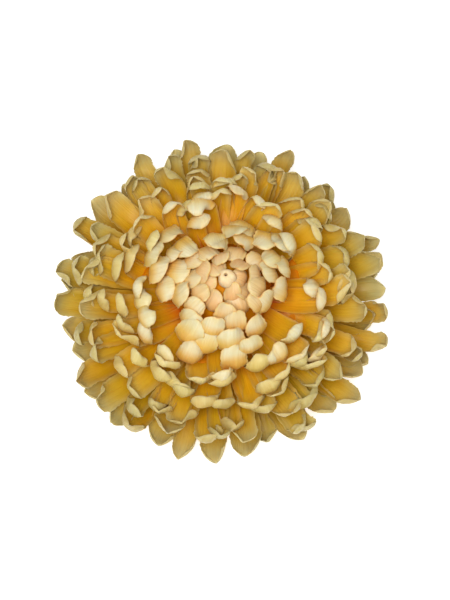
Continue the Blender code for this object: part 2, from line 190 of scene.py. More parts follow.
# Its relief on a petal of full width, which starts part of the way up
FULL_WIDTH = 9.0
FREE_FROM = 0.45
FREE_RATE = 3.0
FOLD_PHASE = 40.0
RUFFLE_RUN = 1.5
RUFFLE_RUN_VARIES = 0.4
FOLD_HEIGHT = 0.09
FOLD_ACROSS = 2.6 * math.pi
SLANT_SHARE = 0.6
SLANT_ACROSS = 1.3 * math.pi
SLANT_ALONG = 0.25
CREASE = 0.16
CREASE_ACROSS = 5.0
CREASE_ALONG = 0.35
NICK = 0.035
NICK_ALONG = 3.1
TIP_LEAN = 0.9

# The hidden cores, as (radius, height) from the top down
OUTER_CORE = ((0.0, 16.7), (9.2, 16.7), (12.6, 17.3), (18.8, 18.9), (23.0, 20.4), (25.6, 20.8),
              (26.2, 18.0), (24.0, 13.8), (19.0, 10.8), (14.0, 9.6), (0.0, 9.6))
OUTER_WALL = OUTER_CORE[2:-1]
INNER_CORE = ((0.0, 39.4), (3.0, 37.8), (7.0, 35.6), (10.6, 32.4), (13.6, 28.6), (15.4, 24.6),
              (14.6, 21.6), (11.6, 19.6), (9.0, 18.2), (7.6, 17.0), (0.0, 17.0))
INNER_WALL = INNER_CORE[1:-1]
CORE_SAMPLES = 3
CORE_SIDES = 96
CORE_RIBS = ((0.012, 24, 0.0),)

# The knob in the middle, from its pinhole out and down, and its uneven turn
KNOB = ((0.0, 41.6), (0.4, 41.7), (0.55, 43.0), (1.3, 43.2), (2.3, 42.7), (2.85, 41.4), (2.6, 39.4),
        (0.0, 39.0))
KNOB_SAMPLES = 6
KNOB_SIDES = 48
KNOB_RADIUS = 2.85
KNOB_RISE = 3.0
KNOB_LOBES = ((0.06, 3, 0.7), (0.035, 5, 2.0))
KNOB_SWELL = ((0.12, 4, 1.0),)
KNOB_HOLE = (-0.5, 0.8)
KNOB_HOLE_ROWS = 12.0

# The stub of stalk under its receptacle
STALK = ((0.0, 9.3), (8.6, 9.3), (9.6, 8.6), (8.2, 7.2), (5.4, 5.6), (3.3, 3.8), (2.7, 2.0), (2.6, 0.0),
         (0.0, 0.0))
STALK_SAMPLES = 5
STALK_SIDES = 66
STALK_RIBS = ((0.018, 11, 0.0), (0.01, 23, 1.0))

# Rows of bracts, as (number, root radius, root height, tip radius, tip height, width)
BRACT_ROWS = ((11, 7.0, 7.3, 15.0, 7.2, 6.2), (8, 5.2, 5.6, 11.4, 4.8, 5.4))
BRACT_DRAWS = 3  # how much longer each is, how far it is turned, and a spare
BRACT_STEPS = 12
BRACT_COLUMNS = 9
BRACT_THICKNESS = 0.5
BRACT_RISE = 0.5
BRACT_ROOT_WIDTH = 0.8
BRACT_SWELL = 0.35
BRACT_DISH = 0.12
BRACT_KEEL = 0.1
BRACT_KEEL_WIDTH = 0.12
BRACT_LONGER = 0.04
BRACT_TURNED = 0.06

# Petal colours: stops over the distance from the tip as a share of PETAL_RUN, a paler rim that reaches
# margin millimetres in, and the shares of the rim and of the painted shadow line on the edge
PETAL_RUN = 40.0
MOUND_LOOK = {
    "front": ((0.0, (0.88, 0.74, 0.40)), (0.09, (0.87, 0.65, 0.22)), (0.2, (0.85, 0.53, 0.06)),
              (0.4, (0.81, 0.43, 0.011)), (0.56, (0.79, 0.36, 0.005)), (0.72, (0.72, 0.15, 0.003))),
    "back": ((0.0, (0.87, 0.79, 0.54)), (0.08, (0.87, 0.77, 0.48)), (0.15, (0.91, 0.56, 0.15)),
             (0.28, (0.92, 0.41, 0.03)), (0.6, (0.88, 0.30, 0.008))),
    "margin": 1.4,
    "rim": (0.93, 0.72, 0.28),
    "rim_share": 0.75,
    "shadow_line_share": 0.85,
}
SPREAD_LOOK = {
    "front": ((0.0, (0.88, 0.76, 0.38)), (0.08, (0.87, 0.69, 0.24)), (0.18, (0.85, 0.57, 0.065)),
              (0.38, (0.83, 0.46, 0.008)), (0.64, (0.80, 0.37, 0.003)), (0.85, (0.74, 0.19, 0.002))),
    "back": ((0.0, (0.85, 0.72, 0.34)), (0.1, (0.85, 0.65, 0.21)), (0.26, (0.83, 0.53, 0.045)),
             (0.7, (0.79, 0.37, 0.003))),
    "margin": 3.4,
    "rim": (0.87, 0.72, 0.34),
    "rim_share": 0.45,
    "shadow_line_share": 0.15,
}
RIM_RUN = (5.0, 22.0)
RIM_LEAST = 0.1

# Clouds of the front's colours on the back
CLOUD_SCALE = 130.0
CLOUD_BAND = (0.35, 0.65)
CLOUD_SHARE = 0.55

# Peach on the backs of the pads in the middle of the bloom, by reach and by distance from the tip: partly
# their own colour, partly painted shade that deepens down the pad where it tucks under the next one
PEACH_AND_SHADE = (0.92, 0.53, 0.23)
PEACH_REACH = (5.0, 16.0)
PEACH_RUN = (0.5, 5.0)
PEACH_END = (6.0, 11.0)
PEACH_LEAST = 0.6
PEACH_MOST = 0.9

# Olive cream on the tips further out, painted shade that darkens the bloom's rim, and golden hoods
OLIVE_CREAM = (0.66, 0.58, 0.27)
OLIVE_REACH = (24.0, 50.0)
OLIVE_RUN = (2.0, 12.0)
OLIVE_MOST = 0.6
# Painted shade: the outermost petals darkened, where they turn away from the light
PAINTED_SHADE_REACH = (38.0, 53.0)
PAINTED_SHADE_TINT = (0.75, 0.79, 0.84)
HOOD_REACH = (24.0, 44.0)
HOOD_TINT = (0.84, 0.77, 0.58)

# Painted shadow: a thin peach line on the very edge, for the shaded gaps between petals, which fades further
# out
SHADOW_LINE_WIDTH = 0.5
SHADOW_LINE_REACH = (16.0, 30.0)
SHADOW_LINE_LEAST = 0.15
SHADOW_LINE_PEACH = (0.86, 0.38, 0.09)

# Veins along the petal, blotches, and each petal's own tone
VEIN_SCALE = (1.3, 0.08, 1.0)
VEIN_BAND = (0.35, 0.65)
VEIN_SHARE = 0.22
VEIN_TINT = (0.84, 0.66, 0.36)
BLOTCH_SCALE = 260.0
BLOTCH_BAND = (0.35, 0.7)
BLOTCH_SHARE = 0.35
BLOTCH_TINT = (0.93, 0.86, 0.70)
OLIVE_TINT = (0.86, 0.92, 0.92)
OLIVE_TINT_SHARE = 0.5
WARM_TINT = (1.0, 0.90, 0.84)
WARM_TINT_SHARE = 0.45

# The petals' skin: relief as (strength, distance), gloss, and the light that soaks in
GRAIN_SCALE = 2200.0
GRAIN_RELIEF = (0.10, 0.0002)
VEIN_RELIEF = (0.40, 0.0008)
GLOSS_BAND = (0.3, 0.7)
PETAL_ROUGHNESS = (0.36, 0.5)
SHEEN = {"Sheen_Weight": 0.2, "Sheen_Roughness": 0.4, "Sheen_Tint": (1.0, 0.82, 0.4)}
SOFT_SKIN = {"Specular_IOR_Level": 0.28, "Subsurface_Weight": 0.25, "Subsurface_Radius": (1.0, 0.8, 0.5),
             "Subsurface_Scale": 0.001}

# The other finishes: two colours over a noise, their scales, gloss and relief
CORE_COLOURS = ((0.3, (0.70, 0.21, 0.002)), (0.7, (0.76, 0.30, 0.004)))
CORE_SCALE = 300.0
CORE_SPECULAR = 0.1
CORE_ROUGHNESS = 0.6
CORE_RELIEF = (0.3, 0.0008)
KNOB_COLOURS = ((0.3, (0.88, 0.62, 0.32)), (0.7, (0.93, 0.74, 0.43)))
KNOB_SCALE = 500.0
KNOB_ROUGHNESS = 0.55
KNOB_RELIEF = (0.35, 0.0008)
# Painted shade in the knob's pinhole, and the share of its depth over which it fades
PINHOLE_SHADE = (0.10, 0.035, 0.008)
PINHOLE_SHADE_RUN = 0.7
STALK_COLOURS = ((0.3, (0.10, 0.17, 0.035)), (0.7, (0.24, 0.32, 0.09)))
STALK_FIBRES = (900.0, 900.0, 90.0)
BRACT_COLOURS = ((0.3, (0.09, 0.16, 0.035)), (0.7, (0.26, 0.36, 0.12)))
BRACT_FIBRES = (500.0, 500.0, 300.0)
GREEN_ROUGHNESS = 0.6
GREEN_RELIEF = (0.4, 0.0006)
PAPER = 0.95
PAPER_ROUGHNESS = 0.9

# Camera, lamp and surroundings, in metres
CAMERA_LENS = 85.0
CAMERA_SENSOR = 36.0
CAMERA_ELEVATION = 74.0
CAMERA_DISTANCE = 0.463
CAMERA_AIM = (0.0015, -0.0030, 0.018)
LAMP_SIZE = 0.22
LAMP_ENERGY = 2.0
LAMP_PLACE = (-0.05, -0.13, 0.50)
LAMP_AIM = (0.0, 0.0, 0.02)
ROOM_LIGHT = 0.33
FLOOR_HALF = 1.0
FLOOR_GLOW = 0.55


def lerp(a, b, t):
    """From a at 0 to b at 1, in a straight line."""
    return a + (b - a) * t


def smooth(t):
    """From 0 to 1 with no corner at either end."""
    t = np.clip(t, 0.0, 1.0)
    return t * t * (3 - 2 * t)


def waves(azimuth, terms):
    """The sum of the given waves at an azimuth: each has a height, a number round the bloom and a phase."""
    return sum(height * np.sin(number * azimuth + phase) for height, number, phase in terms)


def bowed(points):
    """The whole head bows a little to one side: points shift the more the higher they are."""
    points = np.array(points, float)
    share = smooth((points[..., 2] - BOW_FOOT) / BOW_RISE)
    points[..., 0] += BOW[0] * share
    points[..., 1] += BOW[1] * share
    return points


def dome_height(reach):
    """The dome's height at a reach: it falls from the middle by a power of the reach."""
    return DOME_FOOT + DOME_RISE * (1 - (min(reach, DOME_RADIUS) / DOME_RADIUS) ** DOME_POWER)


def dome_slope(reach):
    """How steeply the dome falls at a reach: the angle of its derivative."""
    fall = DOME_RISE * DOME_POWER / DOME_RADIUS * (reach / DOME_RADIUS) ** (DOME_POWER - 1)
    return math.degrees(math.atan(fall))


def floret_reaches():
    """The reach of each floret, so that each has a square of ground as wide as the spacing there."""
    reach = np.linspace(KNOB_REACH, OPEN_REACH, REACH_SAMPLES)
    spacing = np.minimum(SPACING_MIDDLE + SPACING_GROWTH * (reach - KNOB_REACH), SPACING_RIM)
    density = 2 * math.pi * reach / spacing**2
    steps = (density[1:] + density[:-1]) / 2 * np.diff(reach)
    count = np.concatenate([[0], np.cumsum(steps)])
    return np.interp(np.arange(int(count[-1])) + 0.5, count, reach)


def swings(draw, spread):
    """How far one floret is off the rule in each respect: its draws times their spreads."""
    return {name: share * draw[name] for name, share in spread.items()}


def closed_floret(reach, azimuth, draw):
    """A floret that stands up and closes over the middle, its hood lying on the ones further in."""
    off = swings(draw, CLOSED_SPREAD)
    t = reach / CLOSED_REACH
    reach = reach * (1 + off["reach"])
    pad = lerp(*CLOSED_PAD, t) * (1 + off["pad"])
    bend_heading = lerp(*CLOSED_BEND, t) + off["bend"]
    tip_heading = 180 - dome_slope(reach) + CLOSED_OVERHANG + off["tip"]
    return {
        "azimuth": azimuth + off["turn"] * (1 - CLOSED_STEADIER * t),
        "root": tuple(lerp(near, far, t) for near, far in zip(*CLOSED_ROOT)),
        "root_heading": lerp(*CLOSED_ROOT_HEADING, t),
        "bend": (reach + CLOSED_SET_BACK * pad, dome_height(reach) + off["height"] - CLOSED_DROP * pad),
        "bend_heading": bend_heading,
        "hood": tip_heading - bend_heading,
        "curl": 0.0,
        "pad": pad,
        "width": lerp(*CLOSED_WIDTH, t) * (1 + off["width"]),
        "broadens": "late",
        "claw": CLOSED_CLAW,
        "cup": lerp(*CLOSED_CUP, t) + off["cup"],
        "deepens": 1.0,
        "twist": off["twist"],
        "tip_twist": off["tip_twist"],
        "drift": off["drift"],
        "point": max(0.0, off["point"]),
        "lip": CLOSED_LIP,
        "ruffle": CLOSED_RUFFLE,
        "reach": reach,
        "tone": draw["tone"],
        "fold": draw["fold"],
    }


def open_floret(reach, azimuth, draw, under):
    """A floret that leans out, lower and flatter the further out it is; under is 0 to 1 in the last ring."""
    q = max(0.0, (reach - CLOSED_REACH) / (OPEN_REACH - CLOSED_REACH))
    lean = waves(azimuth, LEAN_WAVES)
    gape = waves(azimuth, GAPE_WAVES) * max(0.0, 1 - q / GAPE_RUN)
    spread = max(0.0, gape)
    if under is None:
        off = swings(draw, OPEN_SPREAD)
        tier = 2 * math.pi * reach / TIER + waves(azimuth, TIER_WAVES)
        tip_reach = reach + TIER_PULL * math.sin(tier) + off["reach"] + GAPE_REACH * spread
        height = dome_height(tip_reach) + off["height"] - lerp(*OPEN_DROP, q) + GAPE_LIFT * spread
        root = tuple(lerp(near, far, q) for near, far in zip(*OPEN_ROOT))
        root_heading = lerp(*OPEN_ROOT_HEADING, q**ROOT_HEADING_POWER)
        bend_heading = lerp(*OPEN_BEND, q**BEND_POWER) + off["bend"] - GAPE_LEAN * spread
        tip_heading = lerp(*OPEN_TIP, q**TIP_POWER) - GAPE_CURL * gape + off["tip"]
        loose, broad = 1.0, 0.0
    else:
        off = swings(draw, UNDER_SPREAD)
        tip_reach = lerp(*UNDER_REACH, under) * (1 + off["reach"])
        height = lerp(*UNDER_HEIGHT, under) + off["height"]
        root = (OPEN_ROOT[1][0], OPEN_ROOT[1][1] - UNDER_ROOT_DROP)
        root_heading = UNDER_ROOT_HEADING
        bend_heading = lerp(*UNDER_BEND, under) + off["bend"]
        tip_heading = UNDER_TIP + off["tip"]
        loose, broad = UNDER_LOOSE, UNDER_BROAD
    return {
        "azimuth": azimuth + loose * (off["turn"] + waves(azimuth, TURN_WAVES)),
        "root": INNER_ROOT if reach < INNER_REACH else root,
        "root_heading": root_heading,
        "bend": (tip_reach + lerp(*OPEN_SET_BACK, q**BEND_POWER), height),
        "bend_heading": bend_heading,
        "hood": tip_heading - bend_heading,
        "curl": lerp(*OPEN_CURL, q) * (1 + CURL_VARIES * draw["tone"]),
        "pad": lerp(*OPEN_PAD, q) * (1 + off["pad"]),
        "width": lerp(*OPEN_WIDTH, min(1.0, WIDTH_RATE * q)) * (1 + off["width"] + broad),
        "broadens": "evenly",
        "claw": lerp(*OPEN_CLAW, min(1.0, CLAW_RATE * q)),
        "cup": lerp(*OPEN_CUP, q) + off["cup"],
        "deepens": OPEN_DEEPENS,
        "twist": loose * (off["twist"] + LEAN_TWIST * lean),
        "tip_twist": loose * off["tip_twist"],
        "drift": loose * (off["drift"] + LEAN_DRIFT * lean),
        "point": max(0.0, off["point"]),
        "lip": OPEN_LIP,
        "ruffle": OPEN_RUFFLE,
        "reach": reach,
        "tone": draw["tone"],
        "fold": draw["fold"],
    }


def florets():
    """The closed, inner, outer and resting florets, on one spiral by the golden angle."""
    reaches = floret_reaches()
    count = len(reaches) + UNDER_COUNT
    draws = np.random.default_rng(SEED).uniform(-1, 1, (count, len(DRAWS)))
    closed, inner, outer, resting = [], [], [], []
    for i in range(count):
        azimuth = (i * GOLDEN_ANGLE) % (2 * math.pi)
        draw = dict(zip(DRAWS, draws[i]))
        if i >= len(reaches):
            under = (i - len(reaches) + 0.5) / UNDER_COUNT
            resting.append(open_floret(OPEN_REACH, azimuth, draw, under))
        elif reaches[i] < CLOSED_REACH - MOUND_PULL * waves(azimuth, GAPE_WAVES):
            closed.append(closed_floret(reaches[i], azimuth, draw))
        else:
            group = inner if reaches[i] < INNER_REACH else outer
            group.append(open_floret(reaches[i], azimuth, draw, None))
    return closed, inner, outer, resting


def stem_curve(root, root_heading, bend, bend_heading):
    """A cubic curve in the plane of radius and height that leaves and arrives at the given headings."""
    root, bend = np.array(root), np.array(bend)
    handle = STEM_HANDLE * np.linalg.norm(bend - root)
    h0, h1 = math.radians(root_heading), math.radians(bend_heading)
    out = root + handle * np.array([math.cos(h0), math.sin(h0)])
    back = bend - handle * np.array([math.cos(h1), math.sin(h1)])
    s = np.linspace(0, 1, STEM_SAMPLES)[:, None]
    return (1 - s) ** 3 * root + 3 * (1 - s) ** 2 * s * out + 3 * (1 - s) * s**2 * back + s**3 * bend


def midrib(floret):
    """The stem's curve, then the pad, which turns by the hood, faster at first, and curls at its end.

    Gives its points in the plane of radius and height, and how far along each one lies.
    """
    stem = stem_curve(floret["root"], floret["root_heading"], floret["bend"], floret["bend_heading"])
    along = (np.arange(PAD_SAMPLES) + 0.5) / PAD_SAMPLES
    hood = floret["hood"] * along * (1 + PAD_HASTE - PAD_HASTE * along) + floret["curl"] * along**CURL_POWER
    heading = np.radians(floret["bend_heading"] + hood)
    step = floret["pad"] / PAD_SAMPLES
    turn = np.cumsum(np.stack([np.cos(heading), np.sin(heading)], -1) * step, axis=0)
    points = np.concatenate([stem, stem[-1] + turn])
    arc = np.concatenate([[0], np.cumsum(np.linalg.norm(np.diff(points, axis=0), axis=1))])
    return points, arc


def root_arc(points, arc, wall):
    """How far along its midrib a floret starts: SINK before it leaves its core, by the core's wall."""
    up = sorted(wall, key=lambda place: place[1])
    limit = np.interp(points[:, 1], [height for _, height in up], [radius for radius, _ in up], right=0.0)
    outside = np.nonzero(points[:, 0] > limit)[0]
    return max(0.0, arc[outside[0]] - SINK)


def on_midrib(points, arc, place):
    """The midrib's points at the given places along it."""
    return np.stack([np.interp(place, arc, points[:, k]) for k in (0, 1)], -1)


def midrib_heading(points, arc, along):
    """The midrib's direction at the given places, from the points a probe ahead and behind."""
    ahead = on_midrib(points, arc, np.minimum(along + PROBE, arc[-1]))
    behind = on_midrib(points, arc, np.maximum(along - PROBE, 0))
    return (ahead - behind) / np.linalg.norm(ahead - behind, axis=1, keepdims=True)


def half_width(floret, along, length):
    """Half the width at each place, and how far into the rounded end it lies.

    A claw that widens to the pad, times a power of one minus a power of how far into the end.
    """
    half = floret["width"] / 2
    cap = min(END_MOST * length, half * (END_LEAST + END_POINTED * floret["point"]))
    if floret["broadens"] == "evenly":
        body = smooth(along / (length - cap)) ** EVEN_POWER
    else:
        body = smooth((along - (length - LATE_START * floret["pad"])) / (LATE_RUN * floret["pad"]))
    end = np.clip((along - (length - cap)) / cap, 0, 1)
    rounding = np.maximum(1 - end**END_POWER, 0) ** (END_ROUND + END_SHARPER * floret["point"])
    width = half * lerp(floret["claw"], 1.0, body) * rounding
    width[-1] = 0.0
    return width, end


def relief(floret, along, across, half, end, length):
    """How far the thin sheet stands off its plain arc, sideways and in lift, above its smooth lower part.

    Lift: the margin waves, a broad fold and a slanting one run down the petal with a crease, and the lip
    turns back at the margin and the tip. Sideways: small nicks along the margin, and the tip leans over.
    """
    phase = FOLD_PHASE * floret["fold"]
    free = smooth((along / length - FREE_FROM) * FREE_RATE)
    size = floret["width"] / FULL_WIDTH
    side = np.sign(across)
    ruffle = np.sin(along / (RUFFLE_RUN + RUFFLE_RUN_VARIES * math.sin(phase)) + phase + 2 * side)
    folds = np.sin(FOLD_ACROSS * across + phase)
    folds = folds + SLANT_SHARE * np.sin(SLANT_ACROSS * across + SLANT_ALONG * along + 2 * phase)
    crease = np.sin(CREASE_ACROSS * across + CREASE_ALONG * (length - along) + 3 * phase)
    lift = floret["ruffle"] * np.abs(across) ** 3 * ruffle
    lift = lift + FOLD_HEIGHT * folds * (1 - across**6)
    lift = lift - floret["lip"] * (across**6 + end**5 * (1 - across**2))
    lift = lift + CREASE * crease * (1 - across**4)
    nicks = half * NICK * free * side * across**8 * np.sin(NICK_ALONG * along + 3 * phase)
    sideways = nicks + size * TIP_LEAN * math.sin(2 * phase) * end**2
    return sideways, size * free * lift


def sheet(floret, wall):
    """One floret's two faces, as grids of points over along and across, and the facts that its finish needs.

    Across the midrib the sheet is an arc of a circle with its relief, turned by the twist and carried
    sideways by the drift. The faces lie half a thickness either side, and meet at the margins and the tip.
    """
    points, arc = midrib(floret)
    length = arc[-1]
    stem = length - floret["pad"]
    start = min(root_arc(points, arc, wall), stem - SINK)
    along = lerp(start, length, 1 - (1 - np.linspace(0, 1, ROWS)) ** ROW_POWER)
    across = np.sin(np.linspace(-1, 1, COLUMNS) * math.pi / 2)[None, :]
    centre, tangent = on_midrib(points, arc, along), midrib_heading(points, arc, along)
    half, end = half_width(floret, along, length)
    along, half, end = along[:, None], half[:, None], end[:, None]
    part = along / length

    deeper = CUP_ROOT + CUP_GROWS * np.clip(part * 2 - 1, 0, 1)
    cup = math.radians(floret["cup"]) * floret["deepens"] * deeper
    aside, raised = relief(floret, along, across, half, end, length)
    sideways = half * np.sin(cup * across) / cup + aside
    lift = half * (1 - np.cos(cup * across)) / cup + raised
    on_pad = smooth((along - stem) / floret["pad"])
    twist = math.radians(floret["twist"]) * part + math.radians(floret["tip_twist"]) * on_pad
    turned_side = sideways * np.cos(twist) - lift * np.sin(twist)
    turned_lift = sideways * np.sin(twist) + lift * np.cos(twist)
    radial = centre[:, :1] - tangent[:, 1:] * turned_lift
    tangential = turned_side + floret["drift"] * part**2
    height = np.maximum(centre[:, 1:] + tangent[:, :1] * turned_lift, FLOOR + THICKNESS / 2)
    grid = np.stack([radial, tangential, height], -1)

    normal = np.cross(np.gradient(grid, axis=0), np.gradient(grid, axis=1))
    normal[-1] = normal[-2].mean(0)
    normal /= np.maximum(np.linalg.norm(normal, axis=-1, keepdims=True), 1e-9)
    edge = np.clip(1 - across**2, 0, 1) ** THIN_POWER * np.clip(1 - end**4, 0, 1) ** THIN_POWER
    offset = normal * (0.5 * THICKNESS * edge)[..., None]
    faces = [turned(grid + offset, floret["azimuth"]), turned(grid - offset, floret["azimuth"])]
    flat = np.ones((ROWS, COLUMNS))
    facts = {
        "from_tip": (length - along) * flat,
        "inset": np.minimum(half * (1 - np.abs(across)), length - along),
        "reach": floret["reach"] * flat,
        "tone": floret["tone"] * flat,
        "run": (along - start) * flat,
        "side": half * across * flat,
    }
    return faces, facts


def turned(grid, angle):
    """Points of (radius, sideways, height) taken round the axis by an angle."""
    c, s = math.cos(angle), math.sin(angle)
    x, y = grid[..., 0] * c - grid[..., 1] * s, grid[..., 0] * s + grid[..., 1] * c
    return np.stack([x, y, grid[..., 2]], -1)


def sheet_faces(rows, columns):
    """The quads and triangles of one sheet: two faces that share their sides and tip, and a root end."""
    front = np.arange(rows * columns).reshape(rows, columns)
    rear = front + rows * columns
    rear[:, 0], rear[:, -1] = front[:, 0], front[:, -1]
    front[-1] = rear[-1] = front[-1, 0]
    quads, triangles = [], []
    for side, outward in ((front, False), (rear, True)):
        strip = np.stack([side[:-2, :-1], side[1:-1, :-1], side[1:-1, 1:], side[:-2, 1:]], -1)
        strip = strip.reshape(-1, 4)
        fan = np.stack([side[-2, :-1], side[-1, :-1], side[-2, 1:]], -1)
        quads.append(strip if outward else strip[:, ::-1])
        triangles.append(fan if outward else fan[:, ::-1])
    quads.append(np.stack([front[0, 1:-2], front[0, 2:-1], rear[0, 2:-1], rear[0, 1:-2]], -1))
    triangles.append([(front[0, 0], front[0, 1], rear[0, 1]), (front[0, -2], front[0, -1], rear[0, -2])])
    return np.concatenate(quads), np.concatenate(triangles)


def new_piece(name, points, polygons, finish, node, facts=None, uv=None):
    """A mesh object that rides on the bloom and stands for a CAD node."""
    mesh = bpy.data.meshes.new(name)
    mesh.from_pydata((bowed(points) * MM).tolist(), [], polygons)
    for key, values in (facts or {}).items():
        mesh.attributes.new(key, "FLOAT", "POINT").data.foreach_set("value", values.astype(np.float32))
    if uv is not None:
        corner = np.empty(len(mesh.loops), np.int32)
        mesh.loops.foreach_get("vertex_index", corner)
        mesh.uv_layers.new(name="sheet").data.foreach_set("uv", uv[corner].astype(np.float32).ravel())
    mesh.polygons.foreach_set("use_smooth", np.ones(len(mesh.polygons), bool))
    mesh.materials.append(finish)
    piece = bpy.data.objects.new(name, mesh)
    bpy.context.scene.collection.objects.link(piece)
    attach(piece, ROOT_BODY)
    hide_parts(node)
    return piece


def joined(sheets, rows, columns):
    """Many sheets, each a front and a rear face, as one mesh, without the points that no face uses.

    Gives the points, the polygons, and which of all the faces' points are used.
    """
    quads, triangles = sheet_faces(rows, columns)
    polygons = []
    for first in np.arange(len(sheets)) * 2 * rows * columns:
        polygons += (quads + first).tolist() + (triangles + first).tolist()
    points = np.concatenate([face.reshape(-1, 3) for faces in sheets for face in faces])
    used, place = np.unique(np.concatenate(polygons), return_inverse=True)
    cut = np.cumsum([len(corners) for corners in polygons])[:-1]
    return points[used], [corners.tolist() for corners in np.split(place, cut)], used


def petals(name, group, wall, finish, node):
    """A group of florets as one piece, each a closed sheet, side by side in a UV map of millimetres."""
    sheets = [sheet(floret, wall) for floret in group]
    points, polygons, used = joined([faces for faces, _ in sheets], ROWS, COLUMNS)
    facts = {}
    for key in sheets[0][1]:
        facts[key] = np.concatenate([np.tile(known[key].ravel(), 2) for _, known in sheets])[used]
    number, place = np.divmod(used, 2 * ROWS * COLUMNS)
    facts["back"] = (place >= ROWS * COLUMNS).astype(float)
    uv = np.stack([facts.pop("side") + UV_STEP * number, facts.pop("run")], -1)
    return new_piece(name, points, polygons, finish, node, facts, uv)


def bracts(name, finish, node):
    """Pointed green scales in rows round the receptacle, each row half a step round from the last.

    Along a bract its radius runs straight from root to tip and its height rises in an arch; across it the
    sheet is dished, with a keel along its middle that dies out at the tip.
    """
    along = np.linspace(0, 1, BRACT_STEPS)[:, None]
    across = np.linspace(-1, 1, BRACT_COLUMNS)[None, :]
    arch = np.sin(math.pi * along)
    number = sum(row[0] for row in BRACT_ROWS)
    draws = np.random.default_rng(SEED + 1).uniform(-1, 1, (number, BRACT_DRAWS))
    sheets = []
    for row, (count, root_radius, root_height, tip_radius, tip_height, width) in enumerate(BRACT_ROWS):
        for k in range(count):
            longer, later, _ = draws[len(sheets)]
            half = width / 2 * np.sqrt(np.clip(1 - along**3, 0, 1)) * (BRACT_ROOT_WIDTH + BRACT_SWELL * arch)
            radius = lerp(root_radius, tip_radius * (1 + BRACT_LONGER * longer), along) + 0 * across
            height = lerp(root_height, tip_height, along) + BRACT_RISE * arch
            keel = BRACT_KEEL * np.exp(-((across / BRACT_KEEL_WIDTH) ** 2)) * (1 - along)
            middle = np.stack([radius, half * across, height + BRACT_DISH * half * across**2 + keel], -1)
            thin = np.sqrt(np.clip(1 - across**4, 0, 1)) * np.sqrt(np.clip(1 - along**6, 0, 1))
            offset = np.stack([0 * thin, 0 * thin, BRACT_THICKNESS / 2 * thin], -1)
            angle = 2 * math.pi * (k + row * 0.5) / count + BRACT_TURNED * later
            sheets.append([turned(middle + offset, angle), turned(middle - offset, angle)])
    points, polygons, _ = joined(sheets, BRACT_STEPS, BRACT_COLUMNS)
    return new_piece(name, points, polygons, finish, node)


def smooth_path(places, samples):
    """A Catmull-Rom curve through the given places, with the same number of samples between each two."""
    ends = np.array([places[0], *places, places[-1]], float)
    s = np.linspace(0, 1, samples, endpoint=False)[:, None]
    spans = []
    for k in range(len(places) - 1):
        a, b, c, d = ends[k : k + 4]
        square, cube = 2 * a - 5 * b + 4 * c - d, 3 * b - a - 3 * c + d
        spans.append(0.5 * (2 * b + (c - a) * s + square * s**2 + cube * s**3))
    return np.concatenate([*spans, ends[-1:]])


def turned_grid(outline, sides):
    """A turned solid: an outline of (radius, height) from pole to pole, taken round the axis."""
    turn = np.linspace(0, 2 * math.pi, sides, endpoint=False)
    radius, height = outline[1:-1, :1], outline[1:-1, 1:]
    rings = np.stack([radius * np.cos(turn), radius * np.sin(turn), height + 0 * turn], -1)
    points = np.concatenate([rings.reshape(-1, 3), [[0, 0, outline[0, 1]], [0, 0, outline[-1, 1]]]])
    here = np.arange(len(rings) * sides).reshape(len(rings), sides)
    beside = np.roll(here, -1, axis=1)
    quads = np.stack([here[:-1], here[1:], beside[1:], beside[:-1]], -1).reshape(-1, 4).tolist()
    top = np.stack([np.full(sides, len(points) - 2), here[0], beside[0]], -1).tolist()
    foot = np.stack([np.full(sides, len(points) - 1), beside[-1], here[-1]], -1).tolist()
    return points, rings, turn, quads + top + foot


def ribbed(name, places, samples, sides, ribs, finish, node, slot):
    """A turned piece whose radius is one plus the ribs' waves round it, and which stays above the floor."""
    points, rings, turn, polygons = turned_grid(smooth_path(places, samples), sides)
    points[:-2, :2] *= np.tile(1 + waves(turn, ribs), len(rings))[:, None]
    points[:, 2] = np.maximum(points[:, 2], 0.0)
    return new_piece(name, points, polygons, finish, node)


def knob(name, finish, node):
    """The unopened florets in the very middle: a lobed button with a pinhole off its middle."""
    points, rings, turn, polygons = turned_grid(smooth_path(KNOB, KNOB_SAMPLES), KNOB_SIDES)
    out = np.clip(rings[..., 0].max(axis=1) / KNOB_RADIUS, 0, 1)[:, None]
    top = smooth((rings[..., 2] - KNOB[-1][1]) / KNOB_RISE)
    rings[..., :2] *= (1 + out**2 * waves(turn, KNOB_LOBES))[..., None]
    rings[..., :2] += np.array(KNOB_HOLE) * ((1 - out) * top)[..., None]
    rings[..., 2] += out * top * waves(turn, KNOB_SWELL)
    points[:-2] = rings.reshape(-1, 3)
    points[-2, :2] = KNOB_HOLE
    depth = np.append(np.repeat(np.arange(len(rings)) / KNOB_HOLE_ROWS, KNOB_SIDES), [0.0, 1.0])
    return new_piece(name, points, polygons, finish, node, {"depth": np.clip(depth, 0, 1)})


